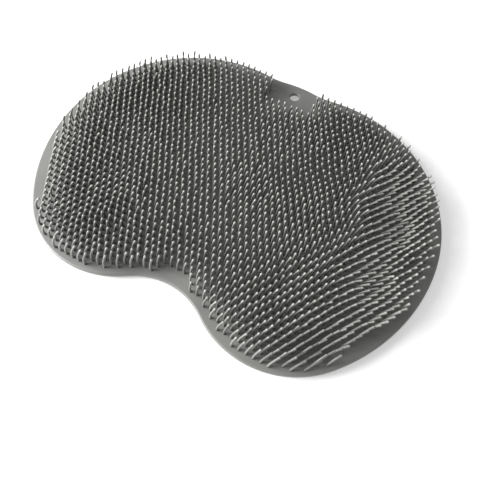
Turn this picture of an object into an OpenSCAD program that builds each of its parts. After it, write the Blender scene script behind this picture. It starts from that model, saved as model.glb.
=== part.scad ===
// Foot scrubber mat for the shower floor, moulded in one piece of soft silicone.
// A butterfly-shaped plate carries a field of flexible bristles on top,
// suction cups underneath and a hanging hole in a bare patch at its back edge.
// Millimetres. The origin is the middle of the bounding box at floor level:
// +X runs along the length, +Y points to the hanging hole and +Z is up.

/* [Outline] */
// Half the distance between the two front lobes' centres
lobe_x = 72; // [68:1:74]
// How far the front lobes' centres lie in front of the shoulders' centres
lobe_drop = 43; // [41:1:46]
// Radius of the front lobes
lobe_r = 73.5; // [72:0.5:76]
// Radius of the hollow waist between the front lobes
waist_r = 54; // [48:1:60]
// Half the distance between the two back shoulders' centres
shoulder_x = 46; // [44:1:50]
// Radius of the back shoulders
shoulder_r = 115.5; // [114:0.5:118]
// Radius of the long curve down each end
side_r = 137; // [134:1:142]
// Radius of the hanging tab's bulge in the middle of the back edge
tab_r = 95; // [85:1:105]
// Radius of the shallow dips beside the hanging tab
dip_r = 60; // [50:1:75]

/* [Plate] */
// Thickness of the plate
plate_t = 3.5; // [3.4:0.1:4.5]
// Radius of the rounded upper edge
edge_r = 2.5; // [2:0.1:2.6]
// Width of the small bevel along the lower edge
under_bevel = 0.4; // [0.3:0.1:0.7]
// Diameter of the hanging hole
hole_d = 8.4; // [6:0.2:10]
// Distance from the hole's centre to the back edge
hole_inset = 12.5; // [11:0.5:15]
// Width of the bevel at both ends of the hole
hole_bevel = 0.8; // [0.5:0.1:1]

/* [Bristles] */
// Distance between neighbouring bristles
pitch = 7.7; // [7.6:0.1:12]
// Length of a bristle above the plate
bristle_l = 15; // [10:0.5:16]
// Diameter of a bristle
bristle_d = 2; // [1.6:0.1:2.4]
// Diameter of a bristle's blunt end
tip_d = 1.2; // [0.8:0.1:1.4]
// Length of the taper at a bristle's end
tip_l = 0.8; // [0.4:0.1:1.2]
// Bare border between the plate's edge and the bristle field
border = 8.5; // [8:0.5:14]
// Width of the bare patch around the hanging hole
patch_w = 46; // [40:1:60]
// How far the bare patch reaches in front of the hole's centre
patch_reach = 16; // [12:1:24]

/* [Suction cups] */
// Distance between neighbouring suction cups
cup_pitch = 24; // [22:1:34]
// Diameter of a suction cup's lip
cup_d = 15; // [12:0.5:18]
// Height of a suction cup, which is the plate's height above the floor
cup_h = 4; // [3.5:0.1:6]
// Diameter of the neck between a suction cup and the plate
neck_d = 6; // [5:0.5:8]
// Thickness of a suction cup's lip where it meets the floor
lip_t = 0.7; // [0.5:0.1:1]
// Bare border between the plate's edge and the suction cups' centres
cup_border = 13; // [11:1:20]

/* [Hidden] */

// How far a straight piece of the outline may cut inside its arc
chord_error = 0.05;
// Steps that turn the rounded edge from upright to flat
edge_steps = 4;
// Sides of the small round shapes
bristle_fn = 16;
round_fn = 48;
// How far a bristle's root and a cup's neck are sunk into the plate
root_sunk = 1.5;
neck_sunk = 1;
// How far a cutting shape stands out of what it cuts
cut_over = 0.1;
// Hollow of a suction cup, as shares of its height and of its neck
hollow_share = 0.7;
hollow_top_share = 0.5;
right_angle = 90;
row_angle = 60;

// Rows of a staggered grid are closer together than its neighbours
row_pitch = pitch * sin(row_angle);
cup_row_pitch = cup_pitch * sin(row_angle);
plate_top = cup_h + plate_t;

// Middle of the outline between its front and back ends, in the frame where
// the shoulders' centres lie on the X axis
middle_y = (shoulder_r - lobe_drop - lobe_r) / 2;
shoulder_y = -middle_y;
lobe_y = shoulder_y - lobe_drop;
back_y = shoulder_y + shoulder_r;
hole_y = back_y - hole_inset;

waist_at = [0, lobe_y - sqrt(pow(lobe_r + waist_r, 2) - pow(lobe_x, 2))];
lobe_at = [lobe_x, lobe_y];
shoulder_at = [shoulder_x, shoulder_y];
tab_at = [0, back_y - tab_r];
side_at = meeting(lobe_at, side_r - lobe_r, shoulder_at, side_r - shoulder_r);
dip_at = meeting(tab_at, tab_r + dip_r, shoulder_at, shoulder_r + dip_r);

// Where a circle about a meets a circle about b, on the left going from a to b
function meeting(a, ra, b, rb) =
    let (d = norm(b - a), u = (b - a) / d, along = (d * d + ra * ra - rb * rb) / (2 * d))
    a + along * u + sqrt(ra * ra - along * along) * [-u.y, u.x];

// Direction from a to b in degrees
function heading(a, b) = atan2(b.y - a.y, b.x - a.x);

// Arcs of the outline's right half from the waist to the tab, counter-clockwise:
// centre, radius, first angle, last angle, and -1 where the edge is hollow
half_arcs = [
    [waist_at, waist_r, right_angle, heading(waist_at, lobe_at), -1],
    [lobe_at, lobe_r, heading(lobe_at, waist_at), heading(side_at, lobe_at), 1],
    [side_at, side_r, heading(side_at, lobe_at), heading(side_at, shoulder_at), 1],
    [shoulder_at, shoulder_r, heading(side_at, shoulder_at), heading(shoulder_at, dip_at), 1],
    [dip_at, dip_r, heading(dip_at, shoulder_at), heading(dip_at, tab_at), -1],
    [tab_at, tab_r, heading(tab_at, dip_at), right_angle, 1]
];

function arc_steps(arc) =
    ceil(abs(arc[3] - arc[2]) / (2 * acos(1 - chord_error / arc[1])));

// Points of one arc, moved into the plate by inset, without the arc's last point
function arc_points(arc, inset) =
    let (n = arc_steps(arc), r = arc[1] - arc[4] * inset)
    [for (k = [0:n - 1]) let (a = arc[2] + (arc[3] - arc[2]) * k / n) arc[0] + r * [cos(a), sin(a)]];

function right_points(inset) =
    [for (arc = half_arcs) for (p = arc_points(arc, inset)) p];

// The whole outline, counter-clockwise, moved into the plate by inset
function outline_points(inset) =
    let (right = right_points(inset), n = len(right))
    concat(right, [tab_at + [0, tab_r - inset]], [for (k = [n - 1:-1:1]) [-right[k].x, right[k].y]]);

// Whether the edge from a to b passes to the right of p at its height
function passes(p, a, b) =
    (a.y > p.y) != (b.y > p.y) && p.x < a.x + (b.x - a.x) * (p.y - a.y) / (b.y - a.y);

// Whether p lies in the closed outline pts
function inside(p, pts) =
    let (n = len(pts)) len([for (k = [0:n - 1]) if (passes(p, pts[k], pts[(k + 1) % n])) k]) % 2 == 1;

// Rings of the plate from its lower to its upper face: inset and height
plate_rings = concat(
    [[under_bevel, cup_h], [0, cup_h + under_bevel]],
    [for (k = [0:edge_steps]) let (a = right_angle * k / edge_steps)
        [edge_r * (1 - cos(a)), plate_top - edge_r * (1 - sin(a))]]
);

// Places on a staggered grid whose rows are step apart along X
function staggered(step, row_step) =
    let (rows = ceil(back_y / row_step), cols = ceil((side_at.x + side_r) / step))
    [for (j = [-rows:rows], i = [-cols:cols]) [(i + (j % 2 == 0 ? 0 : 0.5)) * step, j * row_step]];

function in_patch(p) = abs(p.x) < patch_w / 2 && p.y > hole_y - patch_reach;

module plate() {
    rings = [for (ring = plate_rings) [for (p = outline_points(ring[0])) [p.x, p.y, ring[1]]]];
    n = len(rings[0]);
    last = len(rings) - 1;
    centres = [[0, 0, plate_rings[0][1]], [0, 0, plate_top]];
    under = n * len(rings);
    over = under + 1;
    sides = [for (r = [0:last - 1], k = [0:n - 1]) let (m = (k + 1) % n)
        [r * n + k, (r + 1) * n + k, (r + 1) * n + m, r * n + m]];
    lower = [for (k = [0:n - 1]) [under, k, (k + 1) % n]];
    upper = [for (k = [0:n - 1]) [over, last * n + (k + 1) % n, last * n + k]];
    polyhedron(concat([for (ring = rings) each ring], centres), concat(sides, lower, upper));
}

module hanging_hole() {
    bevel_h = hole_bevel + cut_over;
    mouth_d = hole_d + 2 * bevel_h;
    translate([0, hole_y, cup_h - cut_over]) {
        cylinder(h = plate_t + 2 * cut_over, d = hole_d, $fn = round_fn);
        cylinder(h = bevel_h, d1 = mouth_d, d2 = hole_d, $fn = round_fn);
    }
    translate([0, hole_y, plate_top - hole_bevel])
        cylinder(h = bevel_h, d1 = hole_d, d2 = mouth_d, $fn = round_fn);
}

module bristle() {
    translate([0, 0, -root_sunk])
        cylinder(h = root_sunk + bristle_l - tip_l, d = bristle_d, $fn = bristle_fn);
    translate([0, 0, bristle_l - tip_l])
        cylinder(h = tip_l, d1 = bristle_d, d2 = tip_d, $fn = bristle_fn);
}

module bristle_field() {
    limit = outline_points(border);
    for (p = staggered(pitch, row_pitch))
        if (inside(p, limit) && !in_patch(p)) translate([p.x, p.y, plate_top]) bristle();
}

module suction_cup() {
    difference() {
        union() {
            cylinder(h = cup_h * hollow_share, d1 = cup_d, d2 = neck_d, $fn = round_fn);
            cylinder(h = cup_h + neck_sunk, d = neck_d, $fn = round_fn);
        }
        translate([0, 0, -cut_over])
            cylinder(
                h = cup_h * hollow_share - lip_t + cut_over,
                d1 = cup_d - 2 * lip_t,
                d2 = neck_d * hollow_top_share,
                $fn = round_fn
            );
    }
}

module suction_cups() {
    limit = outline_points(cup_border);
    for (p = staggered(cup_pitch, cup_row_pitch))
        if (inside(p, limit) && norm(p - [0, hole_y]) > (cup_d + hole_d) / 2 + 2 * hole_bevel)
            translate([p.x, p.y, 0]) suction_cup();
}

module mat() {
    color("dimgray") {
        difference() {
            plate();
            hanging_hole();
        }
        bristle_field();
        suction_cups();
    }
}

mat();
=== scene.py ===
"""Foot scrubber mat of soft silicone, with its combed bristle field, on a studio floor."""
import logging
import math
import random
from collections.abc import Callable
from dataclasses import dataclass, field
from enum import Enum

import bpy
import numpy as np
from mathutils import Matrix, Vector


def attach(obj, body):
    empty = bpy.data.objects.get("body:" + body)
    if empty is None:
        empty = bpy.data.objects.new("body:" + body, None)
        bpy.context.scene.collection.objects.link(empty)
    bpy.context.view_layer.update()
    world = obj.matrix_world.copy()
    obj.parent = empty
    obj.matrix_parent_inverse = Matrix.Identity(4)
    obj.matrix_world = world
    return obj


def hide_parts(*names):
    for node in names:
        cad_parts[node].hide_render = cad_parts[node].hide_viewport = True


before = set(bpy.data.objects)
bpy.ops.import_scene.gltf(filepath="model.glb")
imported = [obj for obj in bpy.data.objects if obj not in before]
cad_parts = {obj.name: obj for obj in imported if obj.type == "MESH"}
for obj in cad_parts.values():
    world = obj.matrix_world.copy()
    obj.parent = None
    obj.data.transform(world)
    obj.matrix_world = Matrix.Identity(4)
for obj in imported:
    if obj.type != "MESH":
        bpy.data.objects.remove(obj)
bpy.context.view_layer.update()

BODY = "root"
NODE = "mat"
MM = 0.001
# Vertices closer than this are merged
DOUBLED = 0.001 * MM
# How far a vertex may lie off the height that it is looked for at
SLACK = 0.01 * MM
# Bevel profile of a round edge
ROUND = 0.5

log = logging.getLogger("foot_mat")

Point = tuple[float, float]
Tone = tuple[float, float, float]
Place = tuple[float, float, float]
Faces = list[tuple[int, ...]]


class Side(Enum):
    """Half of the bristle field that one piece holds."""

    LEFT = -1
    RIGHT = 1


class Bulge(Enum):
    """Which way an arc of the outline bends."""

    OUT = 1
    HOLLOW = -1


# Small helpers


def deselect_all() -> None:
    """Leave edit mode and deselect every object."""
    if bpy.context.object is not None and bpy.context.object.mode != "OBJECT":
        bpy.ops.object.mode_set(mode="OBJECT")
    bpy.ops.object.select_all(action="DESELECT")


def choose(piece: bpy.types.Object) -> None:
    """Make a piece the only selected object and the active one.

    Args:
        piece: the object to work on next.
    """
    deselect_all()
    piece.select_set(True)
    bpy.context.view_layer.objects.active = piece


def settle(piece: bpy.types.Object) -> None:
    """Move a piece's place and turn into its mesh."""
    choose(piece)
    bpy.ops.object.transform_apply(location=True, rotation=True, scale=True)


def select_edges(piece: bpy.types.Object, wanted: Callable[[Vector], bool]) -> None:
    """Select the edges of a piece whose two ends both pass a test, in edge mode.

    Args:
        piece: mesh object in object mode.
        wanted: test of a vertex's place.
    """
    choose(piece)
    bpy.ops.object.mode_set(mode="EDIT")
    bpy.ops.mesh.select_mode(type="EDGE")
    bpy.ops.mesh.select_all(action="DESELECT")
    bpy.ops.object.mode_set(mode="OBJECT")
    ends = [wanted(v.co) for v in piece.data.vertices]
    for edge in piece.data.edges:
        edge.select = ends[edge.vertices[0]] and ends[edge.vertices[1]]
    bpy.ops.object.mode_set(mode="EDIT")


def recalculate(piece: bpy.types.Object) -> None:
    """Merge a piece's doubled vertices and point its faces outwards.

    Args:
        piece: mesh object in object mode.
    """
    choose(piece)
    bpy.ops.object.mode_set(mode="EDIT")
    bpy.ops.mesh.select_all(action="SELECT")
    bpy.ops.mesh.remove_doubles(threshold=DOUBLED)
    bpy.ops.mesh.normals_make_consistent(inside=False)
    bpy.ops.object.mode_set(mode="OBJECT")


def take_apart(piece: bpy.types.Object) -> tuple[np.ndarray, Faces]:
    """Read a shape that is to be repeated, and remove its object.

    Args:
        piece: the modelled shape.

    Returns:
        Its vertices and its faces.
    """
    shape = np.array([v.co[:] for v in piece.data.vertices])
    faces = [tuple(p.vertices) for p in piece.data.polygons]
    bpy.data.objects.remove(piece)
    return shape, faces


def join_copies(name: str, copies: list[np.ndarray], faces: Faces) -> bpy.types.Object:
    """Make one piece of all copies of a shape.

    Args:
        name: name of the piece while it is made.
        copies: vertices of each copy.
        faces: faces of one copy.

    Returns:
        The piece, selected and active.
    """
    polys = [
        tuple(k * len(copy) + v for v in face) for k, copy in enumerate(copies) for face in faces
    ]
    mesh = bpy.data.meshes.new(name)
    mesh.from_pydata(np.concatenate(copies).tolist(), [], polys)
    piece = bpy.data.objects.new(name, mesh)
    bpy.context.scene.collection.objects.link(piece)
    choose(piece)
    return piece


def fit_out(piece: bpy.types.Object, name: str, material: bpy.types.Material) -> None:
    """Name a piece, give it its finish and let it ride on the mat's body.

    Args:
        piece: finished object.
        name: the piece's name.
        material: its finish.
    """
    piece.name = piece.data.name = name
    piece.data.materials.clear()
    piece.data.materials.append(material)
    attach(piece, BODY)
    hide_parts(NODE)
    log.info("%s: %d faces", name, len(piece.data.polygons))


# Outline


@dataclass(frozen=True)
class Arc:
    """One arc of the outline, with its angles in radians."""

    centre: Point
    radius: float
    first: float
    last: float
    bulge: Bulge


def meeting(a: Point, ra: float, b: Point, rb: float) -> Point:
    """Find where a circle about a meets a circle about b, on the left going from a to b.

    Args:
        a: centre of the first circle.
        ra: its radius.
        b: centre of the second circle.
        rb: its radius.

    Returns:
        The point where they meet.
    """
    gap = math.dist(a, b)
    ux, uy = (b[0] - a[0]) / gap, (b[1] - a[1]) / gap
    along = (gap * gap + ra * ra - rb * rb) / (2 * gap)
    off = math.sqrt(ra * ra - along * along)
    return a[0] + along * ux - off * uy, a[1] + along * uy + off * ux


def heading(a: Point, b: Point) -> float:
    """Direction from a to b, in radians."""
    return math.atan2(b[1] - a[1], b[0] - a[0])


@dataclass
class Outline:
    """Butterfly outline of the plate, made of arcs that meet without a corner."""

    lobe_x: float = 72 * MM
    lobe_drop: float = 43 * MM
    lobe_r: float = 73.5 * MM
    waist_r: float = 54 * MM
    shoulder_x: float = 46 * MM
    shoulder_r: float = 115.5 * MM
    side_r: float = 137 * MM
    tab_r: float = 95 * MM
    dip_r: float = 60 * MM
    chord_error: float = 0.02 * MM

    @property
    def shoulder_y(self) -> float:
        """Height of the shoulders' centres on the Y axis."""
        return -(self.shoulder_r - self.lobe_drop - self.lobe_r) / 2

    @property
    def back_y(self) -> float:
        """Where the back edge lies on the Y axis."""
        return self.shoulder_y + self.shoulder_r

    def arcs(self) -> list[Arc]:
        """Arcs of the right half.

        Returns:
            The arcs from the waist to the tab, counter-clockwise.
        """
        shoulder = (self.shoulder_x, self.shoulder_y)
        lobe = (self.lobe_x, self.shoulder_y - self.lobe_drop)
        reach = self.lobe_r + self.waist_r
        waist = (0.0, lobe[1] - math.sqrt(reach**2 - self.lobe_x**2))
        tab = (0.0, self.back_y - self.tab_r)
        side = meeting(lobe, self.side_r - self.lobe_r, shoulder, self.side_r - self.shoulder_r)
        dip = meeting(tab, self.tab_r + self.dip_r, shoulder, self.shoulder_r + self.dip_r)
        up = math.pi / 2
        end, turn = heading(side, shoulder), heading(shoulder, dip)
        return [
            Arc(waist, self.waist_r, up, heading(waist, lobe), Bulge.HOLLOW),
            Arc(lobe, self.lobe_r, heading(lobe, waist), heading(side, lobe), Bulge.OUT),
            Arc(side, self.side_r, heading(side, lobe), end, Bulge.OUT),
            Arc(shoulder, self.shoulder_r, end, turn, Bulge.OUT),
            Arc(dip, self.dip_r, heading(dip, shoulder), heading(dip, tab), Bulge.HOLLOW),
            Arc(tab, self.tab_r, heading(tab, dip), up, Bulge.OUT),
        ]

    def points(self, inset: float) -> list[Point]:
        """Points of the whole outline.

        Args:
            inset: how far the outline is moved into the plate.

        Returns:
            The points, counter-clockwise from the middle of the waist.
        """
        right: list[Point] = []
        for arc in self.arcs():
            step = 2 * math.acos(1 - self.chord_error / arc.radius)
            count = math.ceil(abs(arc.last - arc.first) / step)
            radius = arc.radius - arc.bulge.value * inset
            for k in range(count):
                turn = arc.first + (arc.last - arc.first) * k / count
                x = arc.centre[0] + radius * math.cos(turn)
                y = arc.centre[1] + radius * math.sin(turn)
                right.append((x, y))
        left = [(-x, y) for x, y in right[:0:-1]]
        return right + [(0.0, self.back_y - inset)] + left


def is_inside(p: Point, ring: np.ndarray) -> bool:
    """Tell whether a place lies inside a closed outline.

    Args:
        p: the place.
        ring: the outline's points in order.

    Returns:
        True if it lies inside.
    """
    ahead = np.roll(ring, -1, axis=0)
    crossing = (ring[:, 1] > p[1]) != (ahead[:, 1] > p[1])
    a, b = ring[crossing], ahead[crossing]
    cut = a[:, 0] + (b[:, 0] - a[:, 0]) * (p[1] - a[:, 1]) / (b[:, 1] - a[:, 1])
    return bool(np.count_nonzero(p[0] < cut) % 2)


def staggered(
    step: float, outline: Outline, border: float, first: Point = (0.0, 0.0)
) -> list[Point]:
    """Places on a staggered grid that keep clear of the outline.

    Args:
        step: distance between neighbours.
        outline: the plate's outline.
        border: bare width along the edge.
        first: a place of the grid near the middle.

    Returns:
        The places, row by row from the front.
    """
    row = step * math.sin(math.pi / 3)
    ring = np.array(outline.points(border))
    rows = math.ceil(outline.back_y / row)
    cols = math.ceil(ring[:, 0].max() / step) + 1
    places = [
        (first[0] + (i + (0 if j % 2 == 0 else 0.5)) * step, first[1] + j * row)
        for j in range(-rows, rows + 1)
        for i in range(-cols, cols + 1)
    ]
    return [p for p in places if is_inside(p, ring)]


# Finishes


def new_material(name: str) -> tuple[bpy.types.Material, bpy.types.NodeTree, bpy.types.Node]:
    """Start a node-based material.

    Args:
        name: the material's name.

    Returns:
        The material, its node tree and its Principled shader.
    """
    material = bpy.data.materials.new(name)
    material.use_nodes = True
    tree = material.node_tree
    return material, tree, tree.nodes["Principled BSDF"]


def tone_ramp(tree: bpy.types.NodeTree, stops: list[tuple[float, Tone]]) -> bpy.types.Node:
    """Add a colour ramp to a material.

    Args:
        tree: the material's node tree.
        stops: position and tone of each stop, in order.

    Returns:
        The ramp's node.
    """
    node = tree.nodes.new("ShaderNodeValToRGB")
    made = node.color_ramp.elements
    for element, (position, tone) in ((made[0], stops[0]), (made[1], stops[-1])):
        element.position, element.color = position, (*tone, 1.0)
    for position, tone in stops[1:-1]:
        made.new(position).color = (*tone, 1.0)
    return node


def value_range(tree: bpy.types.NodeTree, low: float, high: float) -> bpy.types.Node:
    """Add a node that turns 0 to 1 into a range of values.

    Args:
        tree: the material's node tree.
        low: what 0 becomes.
        high: what 1 becomes.

    Returns:
        The node.
    """
    node = tree.nodes.new("ShaderNodeMapRange")
    node.inputs["To Min"].default_value = low
    node.inputs["To Max"].default_value = high
    return node


@dataclass(frozen=True)
class MouldedSkin:
    """Skin of moulded silicone: a fine grain, and a mottle that its gloss follows."""

    grain_scale: float
    mottle_scale: float
    grain_height: float
    roughness_low: float
    roughness_high: float
    group_name: str = "moulded_skin"
    grain_detail: float = 3.0
    grain_roughness: float = 0.6
    mottle_detail: float = 2.0

    def group(self) -> bpy.types.ShaderNodeTree:
        """Build the shader group that all silicone shares, or return it if it is there.

        Returns:
            The group: it takes a coordinate, a grain scale and a mottle scale, and gives
            the height of the fine grain and a slow mottle from 0 to 1.
        """
        if self.group_name in bpy.data.node_groups:
            return bpy.data.node_groups[self.group_name]
        tree = bpy.data.node_groups.new(self.group_name, "ShaderNodeTree")
        made = tree.interface.new_socket
        made("Place", in_out="INPUT", socket_type="NodeSocketVector")
        made("Grain Scale", in_out="INPUT", socket_type="NodeSocketFloat")
        made("Mottle Scale", in_out="INPUT", socket_type="NodeSocketFloat")
        made("Height", in_out="OUTPUT", socket_type="NodeSocketFloat")
        made("Mottle", in_out="OUTPUT", socket_type="NodeSocketFloat")
        nodes, links = tree.nodes, tree.links
        entry, leave = nodes.new("NodeGroupInput"), nodes.new("NodeGroupOutput")
        grain, mottle = nodes.new("ShaderNodeTexNoise"), nodes.new("ShaderNodeTexNoise")
        grain.inputs["Detail"].default_value = self.grain_detail
        grain.inputs["Roughness"].default_value = self.grain_roughness
        mottle.inputs["Detail"].default_value = self.mottle_detail
        for noise, scale in ((grain, "Grain Scale"), (mottle, "Mottle Scale")):
            links.new(entry.outputs["Place"], noise.inputs["Vector"])
            links.new(entry.outputs[scale], noise.inputs["Scale"])
        links.new(grain.outputs["Fac"], leave.inputs["Height"])
        links.new(mottle.outputs["Fac"], leave.inputs["Mottle"])
        return tree

    def lay_on(self, tree: bpy.types.NodeTree, shader: bpy.types.Node) -> bpy.types.Node:
        """Give a shader the skin's gloss and grain.

        Args:
            tree: the material's node tree.
            shader: its Principled shader.

        Returns:
            The group's node, whose mottle a tone may follow.
        """
        nodes, links = tree.nodes, tree.links
        place = nodes.new("ShaderNodeTexCoord")
        skin = nodes.new("ShaderNodeGroup")
        skin.node_tree = self.group()
        skin.inputs["Grain Scale"].default_value = self.grain_scale
        skin.inputs["Mottle Scale"].default_value = self.mottle_scale
        links.new(place.outputs["Object"], skin.inputs["Place"])
        gloss = value_range(tree, self.roughness_low, self.roughness_high)
        links.new(skin.outputs["Mottle"], gloss.inputs["Value"])
        links.new(gloss.outputs["Result"], shader.inputs["Roughness"])
        bump = nodes.new("ShaderNodeBump")
        bump.inputs["Distance"].default_value = self.grain_height
        links.new(skin.outputs["Height"], bump.inputs["Height"])
        links.new(bump.outputs["Normal"], shader.inputs["Normal"])
        return skin


@dataclass(frozen=True)
class SiliconeFinish:
    """Satin silicone of the plate and the suction cups."""

    name: str = "grey_silicone"
    dark: Tone = (0.140, 0.141, 0.135)
    light: Tone = (0.185, 0.185, 0.177)
    dark_end: float = 0.3
    light_start: float = 0.7
    skin: MouldedSkin = MouldedSkin(1400.0, 22.0, 0.02 * MM, 0.34, 0.48)
    coat: float = 0.12
    coat_roughness: float = 0.3

    def build(self) -> bpy.types.Material:
        """Make the material.

        Returns:
            Grey silicone whose tone, gloss and grain change over the surface.
        """
        material, tree, shader = new_material(self.name)
        skin = self.skin.lay_on(tree, shader)
        tone = tone_ramp(tree, [(self.dark_end, self.dark), (self.light_start, self.light)])
        tree.links.new(skin.outputs["Mottle"], tone.inputs["Fac"])
        tree.links.new(tone.outputs["Color"], shader.inputs["Base Color"])
        shader.inputs["Coat Weight"].default_value = self.coat
        shader.inputs["Coat Roughness"].default_value = self.coat_roughness
        return material


@dataclass(frozen=True)
class BristleFinish:
    """Silicone of the bristles, with painted light at their pale ends, for light scattered through
    them and the highlight on their round ends, and painted shade at their dark roots.
    """

    name: str = "bristle_silicone"
    uv_name: str = "along"
    # Painted shade: the dark tone at the roots stands in for the shade down between the bristles.
    root: Tone = (0.09, 0.09, 0.086)
    shaft: Tone = (0.165, 0.165, 0.157)
    # Painted light: the pale tone at the ends stands in for light scattered through the silicone
    # and the highlight on the round ends.
    painted_tip_light: Tone = (0.32, 0.32, 0.304)
    root_shade_end: float = 0.10
    shaft_end: float = 0.86
    tip_light_start: float = 0.96
    shade_spread: float = 0.4
    skin: MouldedSkin = MouldedSkin(1600.0, 30.0, 0.01 * MM, 0.48, 0.6)

    def build(self) -> bpy.types.Material:
        """Make the material.

        Returns:
            Grey silicone that follows the UV map: U differs from bristle to bristle
            and V runs from a bristle's root to its end.
        """
        material, tree, shader = new_material(self.name)
        nodes, links = tree.nodes, tree.links
        uv = nodes.new("ShaderNodeUVMap")
        uv.uv_map = self.uv_name
        split = nodes.new("ShaderNodeSeparateXYZ")
        links.new(uv.outputs["UV"], split.inputs["Vector"])
        shafts = [(spot, self.shaft) for spot in (self.root_shade_end, self.shaft_end)]
        # The tone along each bristle holds painted shade at the root and painted light at the end.
        tone = tone_ramp(tree, [(0.0, self.root), *shafts, (self.tip_light_start, self.painted_tip_light)])
        links.new(split.outputs["Y"], tone.inputs["Fac"])
        shade = value_range(tree, 1.0 - self.shade_spread / 2, 1.0 + self.shade_spread / 2)
        links.new(split.outputs["X"], shade.inputs["Value"])
        tint = nodes.new("ShaderNodeVectorMath")
        tint.operation = "SCALE"
        links.new(tone.outputs["Color"], tint.inputs["Vector"])
        links.new(shade.outputs["Result"], tint.inputs["Scale"])
        links.new(tint.outputs["Vector"], shader.inputs["Base Color"])
        self.skin.lay_on(tree, shader)
        return material


@dataclass(frozen=True)
class FloorFinish:
    """Plain matt white floor."""

    name: str = "pale_floor"
    dark: Tone = (0.89, 0.89, 0.89)
    light: Tone = (0.91, 0.91, 0.91)
    mottle_scale: float = 6.0
    roughness: float = 0.9
    specular: float = 0.1
    glow: float = 0.3

    def build(self) -> bpy.types.Material:
        """Make the material.

        Returns:
            Near-white paint with the faintest mottle.
        """
        material, tree, shader = new_material(self.name)
        nodes, links = tree.nodes, tree.links
        place = nodes.new("ShaderNodeTexCoord")
        noise = nodes.new("ShaderNodeTexNoise")
        noise.inputs["Scale"].default_value = self.mottle_scale
        links.new(place.outputs["Object"], noise.inputs["Vector"])
        tone = tone_ramp(tree, [(0.0, self.dark), (1.0, self.light)])
        links.new(noise.outputs["Fac"], tone.inputs["Fac"])
        links.new(tone.outputs["Color"], shader.inputs["Base Color"])
        shader.inputs["Roughness"].default_value = self.roughness
        shader.inputs["Specular IOR Level"].default_value = self.specular
        shader.inputs["Emission Color"].default_value = (1.0, 1.0, 1.0, 1.0)
        shader.inputs["Emission Strength"].default_value = self.glow
        return material


# Plate


@dataclass
class Plate:
    """Flexible plate with a rounded upper edge and the hanging hole."""

    outline: Outline
    finish: SiliconeFinish = field(default_factory=SiliconeFinish)
    lift: float = 4 * MM
    thickness: float = 3.5 * MM
    edge_r: float = 2.5 * MM
    under_bevel: float = 0.4 * MM
    hole_d: float = 8.4 * MM
    hole_inset: float = 12.5 * MM
    hole_bevel: float = 0.8 * MM
    edge_segments: int = 8
    edge_profile: float = 0.68
    under_segments: int = 2
    hole_sides: int = 64
    hole_segments: int = 4
    smooth_angle: float = math.radians(35)

    @property
    def top(self) -> float:
        """Height of the plate's upper face."""
        return self.lift + self.thickness

    @property
    def hole_at(self) -> Point:
        """Centre of the hanging hole."""
        return 0.0, self.outline.back_y - self.hole_inset

    def build(self) -> bpy.types.Object:
        """Extrude the outline, round its edges and cut the hole.

        Returns:
            The plate.
        """
        ring = self.outline.points(0.0)
        deselect_all()
        bpy.ops.mesh.primitive_circle_add(
            vertices=len(ring), radius=1.0, fill_type="NGON", location=(0, 0, 0)
        )
        plate = bpy.context.object
        for vertex, point in zip(plate.data.vertices, self._from_circle(plate, ring)):
            vertex.co = (point[0], point[1], self.lift)
        bpy.ops.object.mode_set(mode="EDIT")
        bpy.ops.mesh.select_all(action="SELECT")
        up = {"value": (0, 0, self.thickness)}
        bpy.ops.mesh.extrude_region_move(TRANSFORM_OT_translate=up)
        bpy.ops.object.mode_set(mode="OBJECT")
        recalculate(plate)
        self._bevel(plate, self.top, self.edge_r, self.edge_segments, self.edge_profile)
        self._bevel(plate, self.lift, self.under_bevel, self.under_segments, ROUND)
        self._cut_hole(plate)
        recalculate(plate)
        choose(plate)
        bpy.ops.object.shade_smooth_by_angle(angle=self.smooth_angle)
        return plate

    def _from_circle(self, plate: bpy.types.Object, ring: list[Point]) -> list[Point]:
        """Match the circle's vertices to the outline's points, both counter-clockwise.

        Args:
            plate: the new circle.
            ring: the outline's points.

        Returns:
            One outline point for each vertex, in the vertices' order.
        """
        turns = [math.atan2(v.co.y, v.co.x) % (2 * math.pi) for v in plate.data.vertices]
        order = sorted(range(len(turns)), key=turns.__getitem__)
        placed: list[Point] = [ring[0]] * len(ring)
        for index, point in zip(order, ring):
            placed[index] = point
        return placed

    def _bevel(
        self, plate: bpy.types.Object, level: float, width: float, segments: int, profile: float
    ) -> None:
        """Round the rim's edge at one height.

        Args:
            plate: the extruded plate.
            level: height of the edge.
            width: reach of the rounding.
            segments: faces across the rounding.
            profile: 0.5 for a round edge, more for a fuller one.
        """
        select_edges(plate, lambda co: abs(co.z - level) < SLACK)
        bpy.ops.mesh.bevel(offset=width, segments=segments, profile=profile, affect="EDGES")
        bpy.ops.object.mode_set(mode="OBJECT")

    def _cut_hole(self, plate: bpy.types.Object) -> None:
        """Cut the hanging hole and round both of its rims.

        Args:
            plate: the rounded plate.
        """
        deselect_all()
        radius = self.hole_d / 2
        bpy.ops.mesh.primitive_cylinder_add(
            vertices=self.hole_sides,
            radius=radius,
            depth=3 * self.thickness,
            location=(*self.hole_at, self.lift + self.thickness / 2),
        )
        punch = bpy.context.object
        settle(punch)
        cut = plate.modifiers.new("hole", "BOOLEAN")
        cut.operation, cut.object, cut.solver = "DIFFERENCE", punch, "EXACT"
        choose(plate)
        bpy.ops.object.modifier_apply(modifier=cut.name)
        bpy.data.objects.remove(punch)
        for level in (self.lift, self.top):
            select_edges(
                plate,
                lambda co: abs(co.z - level) < SLACK
                and abs(math.dist(co.xy, self.hole_at) - radius) < SLACK,
            )
            bpy.ops.mesh.bevel(
                offset=self.hole_bevel, segments=self.hole_segments, profile=ROUND, affect="EDGES"
            )
            bpy.ops.object.mode_set(mode="OBJECT")

    def dress(self, plate: bpy.types.Object) -> None:
        """Give the plate its finish and its body."""
        fit_out(plate, "plate", self.finish.build())


# Bristles


@dataclass(frozen=True)
class CombZone:
    """A place on the mat where the bristles are combed over by a known travel, in mm."""

    x: float
    y: float
    travel_x: float
    travel_y: float


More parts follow.
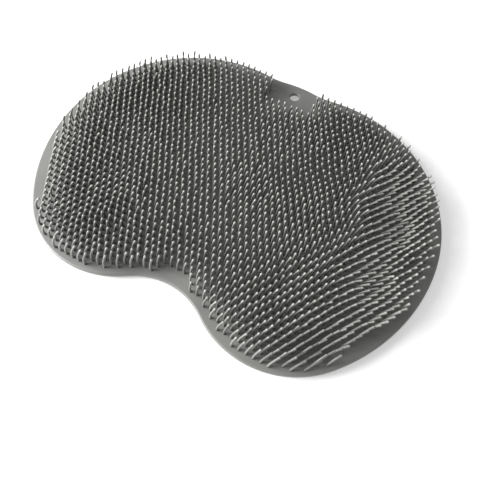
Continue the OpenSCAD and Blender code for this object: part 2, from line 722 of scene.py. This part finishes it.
COMB_ZONES = (
    CombZone(-150, -5, 3.2, 2.2),
    CombZone(-146, -45, 5.2, 3.4),
    CombZone(-135, 45, 2.6, 0.8),
    CombZone(-128, -78, 4.8, 3.6),
    CombZone(-105, -92, 5, 3.4),
    CombZone(-105, 82, 1.6, -0.4),
    CombZone(-100, -20, 3.5, 2.6),
    CombZone(-84, -62, 4.6, 3.3),
    CombZone(-70, -108, 3.6, 4.8),
    CombZone(-65, 104, 1, -1),
    CombZone(-62, -84, 1.4, 4),
    CombZone(-45, -104, 1.8, 5),
    CombZone(-42, -64, 1.6, 4.6),
    CombZone(-60, 40, 1.5, 0.5),
    CombZone(-42, -22, 1.6, 3.6),
    CombZone(-42, 18, 1.6, 2.2),
    CombZone(-40, 60, 2.4, -0.4),
    CombZone(-40, 82, 1.6, -0.6),
    CombZone(-20, 58, 2, -0.8),
    CombZone(-10, 20, 0.6, 2.8),
    CombZone(-10, -86, 1.7, 3.4),
    CombZone(0, -2, 1.6, 4),
    CombZone(0, -45, 0.6, 4.3),
    CombZone(0, 60, 1.2, 1.4),
    CombZone(18, -87, 1.7, 3),
    CombZone(20, -8, 2.1, 3.2),
    CombZone(22, -62, 1.1, 4.2),
    CombZone(30, 58, 0.5, 1.6),
    CombZone(40, -42, 0.2, 4.1),
    CombZone(40, 18, 0, 0.5),
    CombZone(60, -20, -0.5, 4.3),
    CombZone(60, 0, -0.7, 4.2),
    CombZone(60, 38, -0.8, -1),
    CombZone(60, 78, -1, -1.8),
    CombZone(62, 106, 0.2, -1.6),
    CombZone(80, 5, -1.6, 1.6),
    CombZone(80, 45, -1.8, -0.5),
    CombZone(82, 98, -1.8, -0.8),
    CombZone(85, 72, -0.2, -0.6),
    CombZone(40, -100, 3.4, 3.8),
    CombZone(66, -109, 3.2, 4),
    CombZone(70, -80, 2, 3),
    CombZone(85, -50, 2, 3),
    CombZone(90, -110, 5, 7),
    CombZone(102, 82, 1.2, 0),
    CombZone(100, 56, 7.5, 4.2),
    CombZone(102, 36, 8.5, 5),
    CombZone(108, -98, 6.5, 10),
    CombZone(118, 15, 8.5, 6),
    CombZone(122, 56, 7.5, 3.6),
    CombZone(120, 84, 0, -1),
    CombZone(120, -30, 8, 4.5),
    CombZone(128, -70, 6.5, 7),
    CombZone(138, -48, 6, 4.5),
    CombZone(146, -20, 2.6, 0.8),
    CombZone(149, 8, 2.2, 0.6),
    CombZone(148, 34, 2.6, 1),
    CombZone(136, 60, 3, 1),
)


@dataclass
class Comb:
    """How the bristles are combed over, from zones that blend into each other."""

    zones: tuple[CombZone, ...] = COMB_ZONES
    blend: float = 9.0

    def travel(self, place: Point) -> np.ndarray:
        """Travel of a bristle's end.

        Args:
            place: the bristle's root, in metres.

        Returns:
            The travel along X and Y, in metres.
        """
        x, y = place[0] / MM, place[1] / MM
        gaps = np.array([(x - z.x) ** 2 + (y - z.y) ** 2 for z in self.zones])
        pull = 1 / (gaps + self.blend**2) ** 2
        moves = np.array([(z.travel_x, z.travel_y) for z in self.zones])
        return pull @ moves / pull.sum() * MM


@dataclass
class BristleField:
    """About two thousand flexible bristles on a staggered grid."""

    outline: Outline
    plate: Plate
    comb: Comb = field(default_factory=Comb)
    finish: BristleFinish = field(default_factory=BristleFinish)
    pitch: float = 5.5 * MM
    length: float = 15 * MM
    root_sunk: float = 0.6 * MM
    front_border: float = 3.9 * MM
    end_border: float = 8.2 * MM
    front_y: float = -88 * MM
    first: Point = (2.75 * MM, -0.6 * MM)
    patch_w: float = 43 * MM
    patch_reach: float = 19 * MM
    sides: int = 8
    rings: tuple[Point, ...] = (
        (1.0 * MM, 0.90 * MM),
        (4.2 * MM, 0.84 * MM),
        (7.8 * MM, 0.82 * MM),
        (11.4 * MM, 0.82 * MM),
        (13.7 * MM, 0.94 * MM),
        (14.6 * MM, 0.74 * MM),
    )
    root_r: float = 1.10 * MM
    stray: float = 0.45 * MM
    tip_room: float = 1.2 * MM
    most_reach: float = 0.84
    late_bend: float = 1.5
    early_bend: float = 1.1
    most_bend: float = 2.2
    bend_steps: int = 25
    bend_tries: int = 14
    seed: int = 11

    def places(self) -> list[Point]:
        """Roots of the bristles.

        Returns:
            The places, clear of the bare patch round the hole and of the edge, where
            the bare border is narrower along the front than elsewhere.
        """
        patch_y = self.plate.hole_at[1] - self.patch_reach
        inner = np.array(self.outline.points(self.end_border))
        grid = staggered(self.pitch, self.outline, self.front_border, self.first)
        grid = [p for p in grid if p[1] < self.front_y or is_inside(p, inner)]
        return [p for p in grid if abs(p[0]) >= self.patch_w / 2 or p[1] <= patch_y]

    def model_one(self) -> bpy.types.Object:
        """Model one upright bristle with its root at the origin.

        Returns:
            A tapered, round-ended bristle.
        """
        deselect_all()
        bpy.ops.mesh.primitive_circle_add(
            vertices=self.sides,
            radius=self.root_r,
            fill_type="NGON",
            location=(0, 0, -self.root_sunk),
        )
        bristle = bpy.context.object
        settle(bristle)
        bpy.ops.object.mode_set(mode="EDIT")
        bpy.ops.mesh.select_all(action="SELECT")
        level, radius = -self.root_sunk, self.root_r
        for height, wide in self.rings:
            up = {"value": (0, 0, height - level)}
            bpy.ops.mesh.extrude_region_move(TRANSFORM_OT_translate=up)
            share = wide / radius
            bpy.ops.transform.resize(value=(share, share, 1), center_override=(0, 0, height))
            level, radius = height, wide
        up = {"value": (0, 0, self.length - level)}
        bpy.ops.mesh.extrude_region_move(TRANSFORM_OT_translate=up)
        bpy.ops.mesh.merge(type="CENTER")
        bpy.ops.object.mode_set(mode="OBJECT")
        recalculate(bristle)
        return bristle

    def bent(self, shape: np.ndarray, reach: float, turn: float) -> np.ndarray:
        """Bend an upright bristle over, more at its root the further its end travels.

        Args:
            shape: its vertices.
            reach: how far the end travels sideways.
            turn: direction of the travel on the plate, in radians.

        Returns:
            The vertices of the bent bristle, with its root at the origin.
        """
        share = reach / self.length
        along = np.linspace(0.0, 1.0, self.bend_steps)
        curl = along ** (self.late_bend - self.early_bend * share)
        low, high = 0.0, self.most_bend
        for _ in range(self.bend_tries):
            end = (low + high) / 2
            low, high = (end, high) if np.sin(end * curl).mean() < share else (low, end)
        angles = end * curl
        outs, ups = self._run(np.sin(angles)), self._run(np.cos(angles))
        height = shape[:, 2] / self.length
        angle = np.interp(height, along, angles)
        across = shape[:, 0] * math.cos(turn) + shape[:, 1] * math.sin(turn)
        aside = -shape[:, 0] * math.sin(turn) + shape[:, 1] * math.cos(turn)
        flat = np.interp(height, along, outs) + across * np.cos(angle)
        up = np.interp(height, along, ups) + np.clip(shape[:, 2], None, 0) - across * np.sin(angle)
        x = flat * math.cos(turn) - aside * math.sin(turn)
        y = flat * math.sin(turn) + aside * math.cos(turn)
        return np.stack([x, y, up], axis=1)

    def _run(self, slopes: np.ndarray) -> np.ndarray:
        """Add up how far a bristle runs in one direction.

        Args:
            slopes: its slope in that direction at even steps along its length.

        Returns:
            How far it has run at each step.
        """
        step = self.length / (self.bend_steps - 1)
        return np.concatenate([[0.0], np.cumsum((slopes[1:] + slopes[:-1]) / 2)]) * step

    def build(self, side: Side) -> bpy.types.Object:
        """Copy the bristle over one half of the field.

        Args:
            side: which half.

        Returns:
            One piece with all bristles of that half.
        """
        shape, faces = take_apart(self.model_one())
        dice = random.Random(self.seed + side.value)
        room = np.array(self.outline.points(self.tip_room)).max(axis=0)
        copies, shades = [], []
        for place in self.places():
            if (place[0] >= 0) != (side is Side.RIGHT):
                continue
            stray = np.array([dice.gauss(0, self.stray), dice.gauss(0, self.stray)])
            end = np.clip(place + self.comb.travel(place) + stray, -room, room)
            move = end - place
            reach = min(float(np.hypot(*move)), self.most_reach * self.length)
            bent = self.bent(shape, reach, math.atan2(move[1], move[0]))
            copies.append(bent + np.array([*place, self.plate.top]))
            shades.append(dice.random())
        piece = join_copies("bristles", copies, faces)
        self._map_along(piece.data, shape, shades)
        bpy.ops.object.shade_smooth()
        return piece

    def _map_along(self, mesh: bpy.types.Mesh, shape: np.ndarray, shades: list[float]) -> None:
        """Write the UV map that the finish follows.

        Args:
            mesh: the copied bristles.
            shape: vertices of the upright bristle.
            shades: one number from 0 to 1 for each bristle.
        """
        layer = mesh.uv_layers.new(name=self.finish.uv_name)
        loops = np.empty(len(mesh.loops), dtype=np.int32)
        mesh.loops.foreach_get("vertex_index", loops)
        along = np.clip(shape[:, 2] / self.length, 0, 1)
        uv = np.empty((len(loops), 2), dtype=np.float32)
        uv[:, 0] = np.array(shades)[loops // len(shape)]
        uv[:, 1] = along[loops % len(shape)]
        layer.data.foreach_set("uv", uv.ravel())

    def dress(self, pieces: dict[Side, bpy.types.Object]) -> None:
        """Give both halves their finish and their body.

        Args:
            pieces: the two halves of the field.
        """
        finish = self.finish.build()
        for side, piece in pieces.items():
            fit_out(piece, f"bristles_{side.name.lower()}", finish)


# Suction cups


@dataclass
class SuctionCups:
    """Suction cups under the plate, on a wide staggered grid."""

    outline: Outline
    plate: Plate
    finish: SiliconeFinish = field(default_factory=lambda: SiliconeFinish(name="cup_silicone"))
    pitch: float = 24 * MM
    lip_d: float = 15 * MM
    lip_t: float = 0.7 * MM
    lip_round: float = 0.1 * MM
    neck_d: float = 6 * MM
    neck_sunk: float = 0.5 * MM
    neck_start: float = 0.78
    flare_w: float = 0.3 * MM
    flare_start: float = 0.68
    bell: tuple[Point, ...] = ((0.72, 0.34), (0.95, 0.12), (1.0, 0.04))
    hollow: tuple[Point, ...] = ((0.66, 0.26), (0.25, 0.5), (0.0, 0.54))
    border: float = 13 * MM
    steps: int = 28
    smooth_angle: float = math.radians(40)

    def places(self) -> list[Point]:
        """Centres of the cups.

        Returns:
            The places, clear of the edge and of the hanging hole.
        """
        clear = (self.lip_d + self.plate.hole_d) / 2 + 2 * self.plate.hole_bevel
        grid = staggered(self.pitch, self.outline, self.border)
        return [p for p in grid if math.dist(p, self.plate.hole_at) > clear]

    def profile(self) -> list[Point]:
        """Half section of a cup.

        Returns:
            Radius and height of its points, from the axis at the top round the lip
            to the axis inside.
        """
        lip, neck, high = self.lip_d / 2, self.neck_d / 2, self.plate.lift
        sunk = high + self.neck_sunk
        return [
            (0.0, sunk),
            (neck, sunk),
            (neck, self.neck_start * high),
            (neck + self.flare_w, self.flare_start * high),
            *((wide * lip, tall * high) for wide, tall in self.bell),
            (lip - self.lip_round, 0.0),
            (lip - self.lip_t, 0.0),
            *((wide * lip, tall * high) for wide, tall in self.hollow),
        ]

    def model_one(self) -> bpy.types.Object:
        """Spin the half section into one cup at the origin.

        Returns:
            The cup.
        """
        deselect_all()
        corners = [(r, 0.0, z) for r, z in self.profile()]
        edges = [(k, k + 1) for k in range(len(corners) - 1)]
        bpy.ops.mesh.primitive_plane_add(size=self.lip_d, location=(0, 0, 0))
        cup = bpy.context.object
        cup.data.clear_geometry()
        cup.data.from_pydata(corners, edges, [])
        choose(cup)
        bpy.ops.object.mode_set(mode="EDIT")
        bpy.ops.mesh.select_all(action="SELECT")
        bpy.ops.mesh.spin(
            steps=self.steps, angle=2 * math.pi, center=(0, 0, 0), axis=(0, 0, 1)
        )
        bpy.ops.object.mode_set(mode="OBJECT")
        recalculate(cup)
        return cup

    def build(self) -> bpy.types.Object:
        """Copy the cup to all its places.

        Returns:
            One piece with all cups.
        """
        shape, faces = take_apart(self.model_one())
        copies = [shape + np.array([*place, 0.0]) for place in self.places()]
        piece = join_copies("cups", copies, faces)
        bpy.ops.object.shade_smooth_by_angle(angle=self.smooth_angle)
        return piece

    def dress(self, cups: bpy.types.Object) -> None:
        """Give the cups their finish and their body."""
        fit_out(cups, "suction_cups", self.finish.build())


# Studio


@dataclass(frozen=True)
class SoftLight:
    """Square soft light, placed as the camera sees the mat, in metres and watts."""

    name: str
    right: float
    away: float
    height: float
    size: float
    power: float


@dataclass
class Studio:
    """Pale floor, soft light from the left and a camera above the near edge."""

    finish: FloorFinish = field(default_factory=FloorFinish)
    floor_size: float = 12.0
    floor_cells: int = 4
    target: Place = (0.0350, -0.0388, 0.0050)
    eye: Place = (0.1053, -0.1649, 0.3078)
    lens: float = 32.76
    sensor: float = 36.0
    nearest: float = 0.01
    farthest: float = 50.0
    right: Point = (0.8734, 0.4870)
    away: Point = (-0.4870, 0.8734)
    key: SoftLight = SoftLight("key", right=-1.10, away=0.10, height=0.50, size=0.9, power=46.0)
    middle: Place = (0.0, 0.0, 0.01)
    sky: float = 0.45

    def aim(self, thing: bpy.types.Object, target: Place) -> None:
        """Turn a camera or a light to look at a point.

        Args:
            thing: the camera or the light, already in its place.
            target: the point.
        """
        thing.rotation_mode = "QUATERNION"
        view = Vector(target) - thing.location
        thing.rotation_quaternion = view.to_track_quat("-Z", "Y")

    def add_floor(self) -> None:
        """Lay a wide floor under the cups."""
        deselect_all()
        cells = self.floor_cells
        bpy.ops.mesh.primitive_grid_add(
            x_subdivisions=cells, y_subdivisions=cells, size=self.floor_size, location=(0, 0, 0)
        )
        floor = bpy.context.object
        floor.name = "floor"
        floor.data.materials.append(self.finish.build())

    def add_light(self, soft: SoftLight) -> None:
        """Hang a soft light and turn it to the mat.

        Args:
            soft: the light's place, size and power.
        """
        data = bpy.data.lights.new(soft.name, "AREA")
        data.shape, data.size, data.energy = "SQUARE", soft.size, soft.power
        light = bpy.data.objects.new(soft.name, data)
        bpy.context.scene.collection.objects.link(light)
        light.location = (
            soft.right * self.right[0] + soft.away * self.away[0],
            soft.right * self.right[1] + soft.away * self.away[1],
            soft.height,
        )
        self.aim(light, self.middle)

    def add_camera(self) -> None:
        """Place the camera, upright in the frame."""
        data = bpy.data.cameras.new("camera")
        data.sensor_width, data.lens = self.sensor, self.lens
        data.clip_start, data.clip_end = self.nearest, self.farthest
        camera = bpy.data.objects.new("camera", data)
        bpy.context.scene.collection.objects.link(camera)
        camera.location = self.eye
        self.aim(camera, self.target)
        bpy.context.scene.camera = camera

    def add_sky(self) -> None:
        """Light the scene evenly from all round."""
        world = bpy.data.worlds.new("studio")
        world.use_nodes = True
        back = world.node_tree.nodes["Background"]
        back.inputs["Color"].default_value = (1.0, 1.0, 1.0, 1.0)
        back.inputs["Strength"].default_value = self.sky
        bpy.context.scene.world = world
        bpy.context.scene.view_settings.view_transform = "Standard"

    def build(self) -> None:
        """Set up the camera, the floor, the light and the sky."""
        self.add_camera()
        self.add_floor()
        self.add_light(self.key)
        self.add_sky()


def main() -> None:
    """Build the studio and the mat, and report each piece."""
    logging.basicConfig(level=logging.INFO, format="%(name)s: %(message)s")
    Studio().build()
    outline = Outline()
    plate = Plate(outline)
    plate.dress(plate.build())
    bristles = BristleField(outline, plate)
    bristles.dress({side: bristles.build(side) for side in Side})
    cups = SuctionCups(outline, plate)
    cups.dress(cups.build())
    bpy.context.view_layer.update()


if __name__ == "__main__":
    main()
